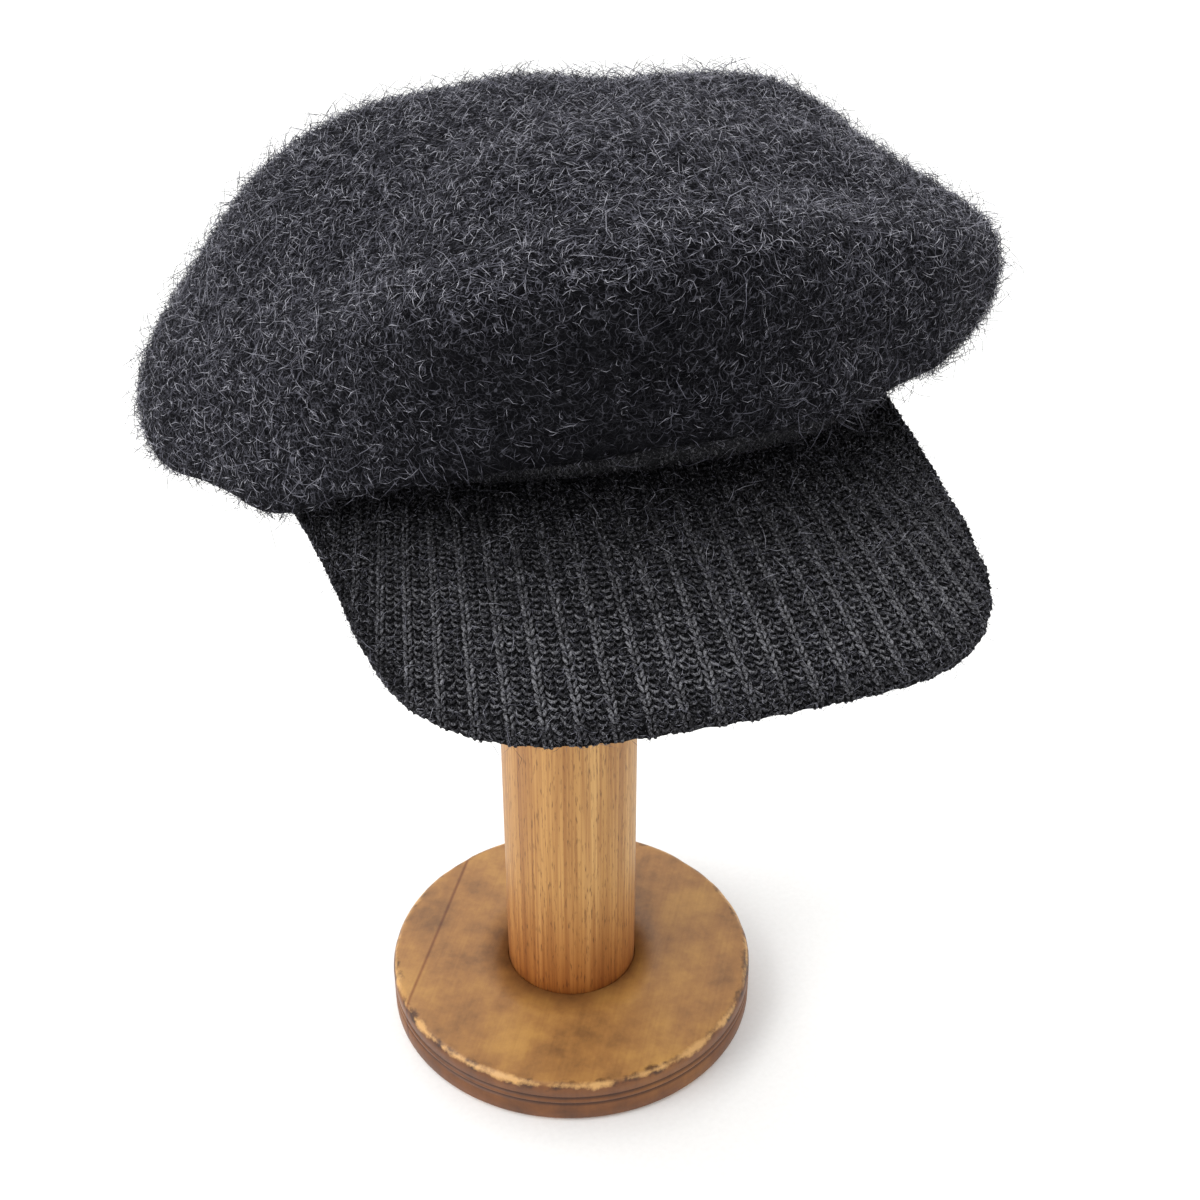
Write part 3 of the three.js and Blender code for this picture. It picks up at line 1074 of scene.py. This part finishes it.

rng = np.random.default_rng(11)
top_legs, top_arcs, under_legs = [], [], []
share_step = 2 / RIB_COUNT
for rib in range(RIB_COUNT):
    # a rib stands a third of the way into its share of the width
    share = 2 * (3 * rib + 1) / (3 * RIB_COUNT) - 1
    length = column(share)[2]
    is_last = share + share_step > 1
    neighbour = share - share_step if is_last else share + share_step
    next_length = column(neighbour)[2]
    half_way = min(length, next_length) / 2
    gap = (peak_skin(neighbour, half_way)[0] - peak_skin(share, half_way)[0]).length

    def skin(offset, travel, share=share, gap=gap):
        return peak_skin(min(max(share + share_step * offset / gap, -1), 1), travel)

    round_edge = length + EDGE_ROUND
    whole = 2 * (length - EDGE_ROUND) + pi * EDGE_ROUND
    top_legs += legs_along(skin, 0.6, round_edge, rng)
    under_legs += legs_along(skin, round_edge + 1, whole - 1, rng)
    if not is_last:
        top_arcs += arcs_along(skin, 0.6, max(length, next_length) + 1, gap, rng)

for name, lines, radii, sides, low, high in (
    ("peak_knit_stitches", top_legs, LEG_RADII, 5, 0.7, 1.02),
    # The purl stitches fill the troughs, and their lower tones are painted shade there.
    ("peak_purl_stitches", top_arcs, ARC_RADII, 4, 0.52, 0.95),
    ("peak_under_stitches", under_legs, LEG_RADII, 3, 0.5, 0.9),
):
    starts = np.array(lines)[:, 0, :2]
    from_band = np.hypot(*starts.T) - BAND_RADIUS
    from_edge = np.linalg.norm(starts[:, None] - outline, axis=2).min(1)
    # Painted shade: darker near the band, under the crown, and along the rolled edge.
    painted_peak_shade = SHADE_NEAR_BAND[0] * bell(from_band, SHADE_NEAR_BAND[1])
    painted_peak_shade += SHADE_AT_EDGE[0] * bell(from_edge, SHADE_AT_EDGE[1])
    tones = rng.uniform(low, high, len(lines)) * np.clip(1 - painted_peak_shade, 0.2, 1)
    mesh = strands_mesh(name, to_scene(lines), radii, sides, tones, pointed=False)
    stitches = place_piece(name, mesh, rib_yarn)
    print(name, len(lines), "strands,", triangles(stitches), "triangles")

# %% [markdown]
# The band is the same knit, pulled tighter. It lies in the shade of the crown, and is
# seen only from the sides and from behind.

# %% Band
BAND_RIBS = 80

band_mesh = set_tone(mesh_from(weld("band"), "band"), 0.5)
band = place_piece("band_knit", band_mesh, rib_yarn)
round_off(band, 1)
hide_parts("band")

band_legs = []
for rib in range(BAND_RIBS):
    rib_angle = rib * 360 / BAND_RIBS

    def skin(offset, travel, rib_angle=rib_angle):
        angle = rib_angle + degrees(offset / BAND_RADIUS)
        out = heading(angle)
        z = float(band_bottom((angle + 180) % 360 - 180)) + travel
        return Vector((*(out * (BAND_RADIUS - 0.7)), z)), Vector((*out, 0))

    band_legs += legs_along(skin, 0.6, BAND_HEIGHT - 2, rng)
tones = rng.uniform(0.5, 0.9, len(band_legs))
mesh = strands_mesh(
    "band_knit_stitches", to_scene(band_legs), LEG_RADII, 3, tones, pointed=False
)
band_stitches = place_piece("band_knit_stitches", mesh, rib_yarn)
print("band:", triangles(band), "and", triangles(band_stitches), "triangles")

# %% [markdown]
# ## Hairs
#
# A brushed mohair surface has two kinds of hair: short ones that lie close together
# and leave small dark holes between them, and long ones that stand off and make the
# soft outline. Roots are spread over the outside of the crown. A real hair is 0.04 mm
# thick, which is too fine to show here, so each strand stands for a small lock and is
# drawn coarser.

# %% Roots on a skin
def skin_of(piece):
    """Triangles of the finished piece: corner points and corner normals."""
    shown = piece.evaluated_get(bpy.context.evaluated_depsgraph_get())
    mesh = shown.to_mesh()
    mesh.calc_loop_triangles()
    spots, normals = np.empty(len(mesh.vertices) * 3), np.empty(len(mesh.vertices) * 3)
    mesh.vertices.foreach_get("co", spots)
    mesh.vertices.foreach_get("normal", normals)
    index = np.empty(len(mesh.loop_triangles) * 3, int)
    mesh.loop_triangles.foreach_get("vertices", index)
    index = index.reshape(-1, 3)
    shown.to_mesh_clear()
    return spots.reshape(-1, 3)[index], normals.reshape(-1, 3)[index]


TRIES_PER_ROOT, RAGGED = 1.8, 0.08  # for bare patches, whose borders are ragged


def scatter(corners, normals, count, rng, patch_size=None):
    """Roots and their outward directions. With a patch size, small patches stay bare:
    more roots are tried, and those where a noise is low are dropped."""
    sides = np.cross(corners[:, 1] - corners[:, 0], corners[:, 2] - corners[:, 0])
    area = np.linalg.norm(sides, axis=1)
    tries = int(count * (TRIES_PER_ROOT if patch_size else 1))
    picked = rng.choice(len(area), tries, p=area / area.sum())
    a, b = rng.random((2, tries))
    fold = a + b > 1
    a[fold], b[fold] = 1 - a[fold], 1 - b[fold]
    weight = np.stack([1 - a - b, a, b], 1)[:, :, None]
    roots = (corners[picked] * weight).sum(1)
    facing = (normals[picked] * weight).sum(1)
    facing /= np.linalg.norm(facing, axis=1, keepdims=True)
    if patch_size:
        filled = np.array([noise.noise(Vector(root) / patch_size) for root in roots])
        keep = np.argsort(-filled + rng.normal(0, RAGGED, tries))[:count]
        roots, facing = roots[keep], facing[keep]
    return roots, facing


crown_corners, crown_normals = skin_of(crown)
middle = to_hat(crown_corners.mean(1))
faces_out = ((crown_normals.mean(1) @ HAT_TURN) * crown_outward(middle)).sum(1) > 0
crown_corners, crown_normals = crown_corners[faces_out], crown_normals[faces_out]
print("outside of the crown:", len(crown_corners), "triangles")

# %% [markdown]
# A hair leaves the cloth at one slope and ends at another, and turns aside on the
# way. On the upright wall the hairs lie sideways, and on top they point anywhere. A
# soft limit keeps the tips within 8 mm of the cloth.

# %% Bend hairs over the skin
STAND_OFF = 8 * MM
COMBED = 0.8  # share of the hairs on an upright wall that lie sideways
COMBED_SPREAD = 0.5  # radians


def hair_lines(roots, facing, lengths, first_slope, last_slope, curl, points, rng):
    """Centre lines of hairs as an array of (hair, point, xyz)."""
    count = len(roots)
    level = np.cross(facing, [0, 0, 1.0])
    flat = np.linalg.norm(level, axis=1) < 0.05
    level[flat] = np.cross(facing[flat], [1.0, 0, 0])
    level /= np.linalg.norm(level, axis=1, keepdims=True)
    upward = np.cross(level, facing)
    steep = np.clip(1 - facing[:, 2], 0, 1)[:, None]
    anywhere = rng.uniform(-pi, pi, (count, 1))
    sideways = rng.normal(0, COMBED_SPREAD, (count, 1))
    sideways += pi * rng.integers(0, 2, (count, 1))
    start = np.where(rng.random((count, 1)) < steep * COMBED, sideways, anywhere)
    lines = [roots]
    steps = points - 1
    for k in range(steps):
        share = (k + 0.5) / steps
        slope = first_slope + (last_slope - first_slope) * share
        way = start + curl * share
        along = np.cos(way) * level + np.sin(way) * upward
        step = np.cos(slope) * along + np.sin(slope) * facing
        lines.append(lines[-1] + step * lengths / steps)
    lines = np.stack(lines, 1)
    height = ((lines - roots[:, None]) * facing[:, None]).sum(2, keepdims=True)
    limited = np.where(height > 0, STAND_OFF * np.tanh(height / STAND_OFF), height)
    return lines + facing[:, None] * (limited - height)


def spread(rng, middle, deviation, low, high, count):
    return np.clip(rng.normal(middle, deviation, (count, 1)), low, high)


SHADE_THINS_PALE, SHADE_DULLS = 2.8, 0.1  # how much the painted shade thins out the pale hairs, and dulls them


def tones_of(rng, roots, facing, darkest, palest):
    """Random tones of hairs with painted shade: in the middle of the front wall most are dark."""
    dark = painted_shade(roots, facing)
    pale = rng.random(len(roots)) ** (1 + SHADE_THINS_PALE * dark) * (1 - SHADE_DULLS * dark)
    return darkest * (1 - dark) + (palest - darkest) * pale


# %% Short hairs of the crown
TUFT, ROOT_DEPTH = 2.0 * MM, 0.3 * MM
SHORT_HAIR_PIECES, HAIRS_IN_PIECE = 3, 30500

count = HAIRS_IN_PIECE
for part in range(SHORT_HAIR_PIECES):
    rng = np.random.default_rng(100 + part)
    roots, facing = scatter(crown_corners, crown_normals, count, rng, TUFT)
    lines = hair_lines(
        roots - facing * ROOT_DEPTH,
        facing,
        lengths=spread(rng, 4.0 * MM, 1.2 * MM, 2 * MM, 8 * MM, count),
        first_slope=spread(rng, radians(38), radians(15), radians(10), radians(80), count),
        last_slope=spread(rng, radians(6), radians(22), radians(-30), radians(55), count),
        curl=rng.normal(0, 1.3, (count, 1)),
        points=3,
        rng=rng,
    )
    name = "crown_short_hairs_%d" % part
    tones = tones_of(rng, roots, facing, 0.12, 1.0)
    mesh = strands_mesh(name, lines, np.array([0.095]) * MM, 3, tones, pointed=True)
    short_hairs = place_piece(name, mesh, mohair, smooth=False)
    print(name, triangles(short_hairs), "triangles")

# %% Long hairs of the crown
LONG_HAIRS = 9000
rng = np.random.default_rng(200)
roots, facing = scatter(crown_corners, crown_normals, LONG_HAIRS, rng)
lines = hair_lines(
    roots,
    facing,
    lengths=spread(rng, 10 * MM, 4 * MM, 4 * MM, 22 * MM, LONG_HAIRS),
    first_slope=spread(rng, radians(50), radians(18), radians(15), radians(88), LONG_HAIRS),
    last_slope=spread(rng, radians(2), radians(30), radians(-50), radians(65), LONG_HAIRS),
    curl=rng.normal(0, 1.7, (LONG_HAIRS, 1)),
    points=4,
    rng=rng,
)
tones = tones_of(rng, roots, facing, 0.2, 0.85)
long_radii = np.array([0.08, 0.07]) * MM
mesh = strands_mesh("crown_long_hairs", lines, long_radii, 3, tones, pointed=True)
long_hairs = place_piece("crown_long_hairs", mesh, mohair, smooth=False)
print("long hairs:", triangles(long_hairs), "triangles")

# %% [markdown]
# The ribbed knit is only lightly fuzzed: short hairs all over the top and the edge of
# the peak, and a few long ones. Its underside is smooth.

# %% Fuzz of the peak
PEAK_HAIRS = 15000
rng = np.random.default_rng(300)
peak_corners, peak_normals = skin_of(peak)
fuzzed = peak_normals[:, :, 2].mean(1) > -0.3
roots, facing = scatter(peak_corners[fuzzed], peak_normals[fuzzed], PEAK_HAIRS, rng)
lines = hair_lines(
    roots,
    facing,
    lengths=rng.choice([2.0 * MM, 3.0 * MM, 9 * MM], (PEAK_HAIRS, 1), p=[0.6, 0.36, 0.04]),
    first_slope=spread(rng, radians(45), radians(16), radians(15), radians(85), PEAK_HAIRS),
    last_slope=spread(rng, radians(5), radians(30), radians(-30), radians(70), PEAK_HAIRS),
    curl=rng.normal(0, 1.6, (PEAK_HAIRS, 1)),
    points=3,
    rng=rng,
)
tones = 0.3 + 0.55 * rng.random(PEAK_HAIRS)
mesh = strands_mesh("peak_fuzz", lines, np.array([0.065]) * MM, 3, tones, pointed=True)
peak_fuzz = place_piece("peak_fuzz", mesh, mohair, smooth=False)
print("peak fuzz:", triangles(peak_fuzz), "triangles")

# %% [markdown]
# ## Table and light
#
# The photograph was taken on a white table in soft light from above. A wide panel
# overhead gives the light, a second one to the left stands for a window, a bright
# world fills the shadows, and a plain white floor takes the faint shadow of the base.

# %% Floor
floor_shape = bmesh.new()
bmesh.ops.create_grid(floor_shape, x_segments=1, y_segments=1, size=6)
bmesh.ops.recalc_face_normals(floor_shape, faces=floor_shape.faces)
floor = bpy.data.objects.new("floor", mesh_from(floor_shape, "floor"))
bpy.context.collection.objects.link(floor)
paper, tree = start_material("white_paper_matt")
fibres = add(
    tree,
    "TexNoise",
    {"Vector": add(tree, "TexCoord").outputs["Object"], "Scale": 1 / (2 * MM)},
)
paper_colour = add(
    tree, "ValToRGB", {"Fac": fibres.outputs["Fac"]}, ramp=[(0.3, "#f8f8f7"), (0.7, "#fcfcfb")]
)
surface = add(
    tree, "BsdfPrincipled", {"Base Color": paper_colour.outputs["Color"], "Roughness": 0.9}
)
finish_material(tree, surface)
floor.data.materials.append(paper)
floor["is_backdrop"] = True

# %% Lights
world = bpy.data.worlds.new("studio")
bpy.context.scene.world = world
world.use_nodes = True
world.node_tree.nodes["Background"].inputs["Color"].default_value = (1, 1, 1, 1)
world.node_tree.nodes["Background"].inputs["Strength"].default_value = 1.0


def panel(name, place, look_at, size, power):
    light = bpy.data.lights.new(name, "AREA")
    light.shape, light.size, light.energy = "SQUARE", size, power
    holder = bpy.data.objects.new(name, light)
    holder.location = place
    aim = Vector(look_at) - Vector(place)
    holder.rotation_euler = aim.to_track_quat("-Z", "Y").to_euler()
    bpy.context.collection.objects.link(holder)


panel("overhead", (-0.3, 0.6, 2.0), look_at=(0, 0, 0.2), size=2.0, power=22)
panel("window", (-1.6, -0.3, 1.3), look_at=(0, 0, 0.2), size=1.2, power=19)

bpy.context.scene.view_settings.view_transform = "Standard"

# %% [markdown]
# ## Sizes
#
# The dressed model may stand a little proud of the solids, as hairs do. How far it
# stands past them, below and above, is printed.

# %% Print how far the dressed model stands past the solids
dressed_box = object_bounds()
growth = [np.round(np.subtract(b, a) / MM, 1) for a, b in zip(cad_box, dressed_box)]
print("past the solids in mm: below", -growth[0], "and above", growth[1])
